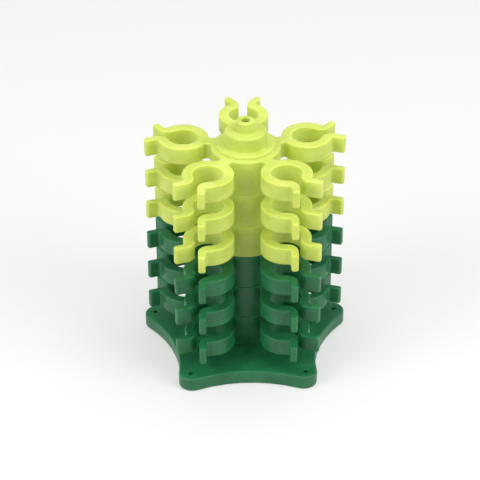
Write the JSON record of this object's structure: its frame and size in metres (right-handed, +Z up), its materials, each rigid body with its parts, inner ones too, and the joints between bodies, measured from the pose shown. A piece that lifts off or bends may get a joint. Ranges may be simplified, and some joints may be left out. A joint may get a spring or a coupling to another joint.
{
  "type": "bobbin storage tower",
  "caption": "Stacking tower of clip wheels on a lobed stand, holding sewing-machine bobbins in open rings with flared mouths.",
  "frame": {"origin": "centre of the stand's underside, on the tower's axis", "axes": "+Z up along the tower's axis; one clip of every wheel and one lobe of the stand point along +Y; -Y faces the picture's camera"},
  "size_m": [0.0878, 0.0841, 0.1088],
  "materials": {
    "lime_plastic": "soft satin, slightly translucent lime green",
    "dark_green_plastic": "soft satin, slightly translucent bottle green"
  },
  "bodies": {
    "stand": {"stand": "dark_green_plastic"},
    "wheel_1": {"wheel_1": "dark_green_plastic"},
    "wheel_2": {"wheel_2": "dark_green_plastic"},
    "wheel_3": {"wheel_3": "dark_green_plastic"},
    "wheel_4": {"wheel_4": "lime_plastic"},
    "wheel_5": {"wheel_5": "lime_plastic"},
    "wheel_6": {"wheel_6": "lime_plastic"}
  },
  "joints": [
    {"name": "wheel_1_turn", "type": "hinge", "parent": "stand", "child": "wheel_1", "pos_m": [0, 0, 0.0062], "axis": [0, 0, 1], "continuous": true},
    {"name": "wheel_2_turn", "type": "hinge", "parent": "wheel_1", "child": "wheel_2", "pos_m": [0, 0, 0.0213], "axis": [0, 0, 1], "continuous": true},
    {"name": "wheel_3_turn", "type": "hinge", "parent": "wheel_2", "child": "wheel_3", "pos_m": [0, 0, 0.0364], "axis": [0, 0, 1], "continuous": true},
    {"name": "wheel_4_turn", "type": "hinge", "parent": "wheel_3", "child": "wheel_4", "pos_m": [0, 0, 0.0515], "axis": [0, 0, 1], "continuous": true},
    {"name": "wheel_5_turn", "type": "hinge", "parent": "wheel_4", "child": "wheel_5", "pos_m": [0, 0, 0.0666], "axis": [0, 0, 1], "continuous": true},
    {"name": "wheel_6_turn", "type": "hinge", "parent": "wheel_5", "child": "wheel_6", "pos_m": [0, 0, 0.0817], "axis": [0, 0, 1], "continuous": true}
  ]
}
